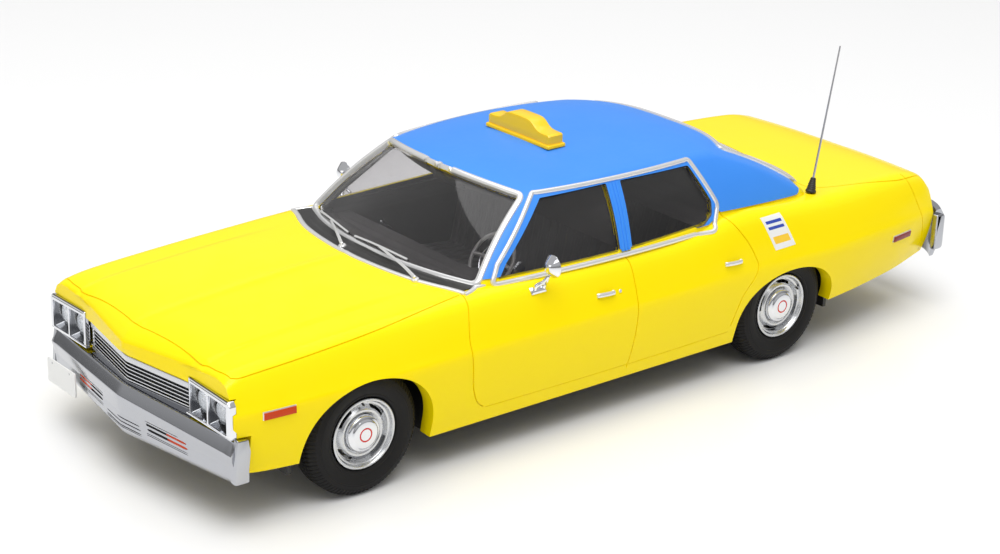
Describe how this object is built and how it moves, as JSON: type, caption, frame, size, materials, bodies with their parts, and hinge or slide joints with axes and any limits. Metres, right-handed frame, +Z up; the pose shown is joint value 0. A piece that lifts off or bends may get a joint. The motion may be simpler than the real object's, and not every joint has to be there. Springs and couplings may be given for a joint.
{
  "type": "scale model taxi cab",
  "caption": "Sealed die-cast scale model of a 1970s full-size American taxi saloon, yellow with a blue vinyl roof, with a roof sign, a whip antenna and free-rolling wheels.",
  "frame": {"origin": "on the floor, below the middle of the overall length between the bumper faces and of the overall width", "axes": "+X from nose to tail, +Y to the car's right-hand side, +Z up"},
  "size_m": [0.314, 0.115, 0.1035],
  "materials": {
    "yellow_paint": "gloss",
    "sign_yellow": "gloss",
    "chrome": "polished",
    "silver_wheel": "satin",
    "black_plastic": "satin",
    "interior_grey": "matt",
    "tyre_rubber": "matt",
    "clear_glass": "gloss",
    "amber_lens": "gloss",
    "red_lens": "gloss",
    "white_plate": "satin",
    "steel": "satin"
  },
  "bodies": {
    "car_body": {"antenna_base": "black_plastic", "antenna_whip": "steel", "base_plate": "black_plastic", "body_shell": "yellow_paint", "dashboard": "interior_grey", "door_mirror_left": "chrome", "door_mirror_right": "chrome", "exhaust_pipe": "steel", "front_axle": "steel", "front_bumper": "chrome", "front_door_glass_left": "clear_glass", "front_door_glass_right": "clear_glass", "front_number_plate": "white_plate", "front_seat": "interior_grey", "front_side_marker_left": "amber_lens", "front_side_marker_right": "amber_lens", "fuel_tank": "black_plastic", "grille": "chrome", "headlamp_bezel_left": "chrome", "headlamp_bezel_right": "chrome", "headlamp_inner_left": "clear_glass", "headlamp_inner_right": "clear_glass", "headlamp_outer_left": "clear_glass", "headlamp_outer_right": "clear_glass", "interior_tub": "interior_grey", "rear_axle": "steel", "rear_bumper": "chrome", "rear_door_glass_left": "clear_glass", "rear_door_glass_right": "clear_glass", "rear_number_plate": "white_plate", "rear_seat": "interior_grey", "rear_side_marker_left": "red_lens", "rear_side_marker_right": "red_lens", "rear_view_mirror": "black_plastic", "rear_window": "clear_glass", "roof_sign": "sign_yellow", "steering_wheel": "black_plastic", "tail_lamp_left": "red_lens", "tail_lamp_right": "red_lens", "windscreen": "clear_glass", "wiper_left": "steel", "wiper_right": "steel"},
    "front_left_wheel": {"tyre_front_left": "tyre_rubber", "rim_front_left": "silver_wheel", "hub_cap_front_left": "chrome"},
    "front_right_wheel": {"tyre_front_right": "tyre_rubber", "rim_front_right": "silver_wheel", "hub_cap_front_right": "chrome"},
    "rear_left_wheel": {"tyre_rear_left": "tyre_rubber", "rim_rear_left": "silver_wheel", "hub_cap_rear_left": "chrome"},
    "rear_right_wheel": {"tyre_rear_right": "tyre_rubber", "rim_rear_right": "silver_wheel", "hub_cap_rear_right": "chrome"}
  },
  "joints": [
    {"name": "front_left_wheel_spin", "type": "hinge", "parent": "car_body", "child": "front_left_wheel", "pos_m": [-0.1042, -0.0447, 0.0196], "axis": [0, 1, 0], "continuous": true},
    {"name": "front_right_wheel_spin", "type": "hinge", "parent": "car_body", "child": "front_right_wheel", "pos_m": [-0.1042, 0.0447, 0.0196], "axis": [0, 1, 0], "continuous": true},
    {"name": "rear_left_wheel_spin", "type": "hinge", "parent": "car_body", "child": "rear_left_wheel", "pos_m": [0.0678, -0.0447, 0.0196], "axis": [0, 1, 0], "continuous": true},
    {"name": "rear_right_wheel_spin", "type": "hinge", "parent": "car_body", "child": "rear_right_wheel", "pos_m": [0.0678, 0.0447, 0.0196], "axis": [0, 1, 0], "continuous": true}
  ]
}
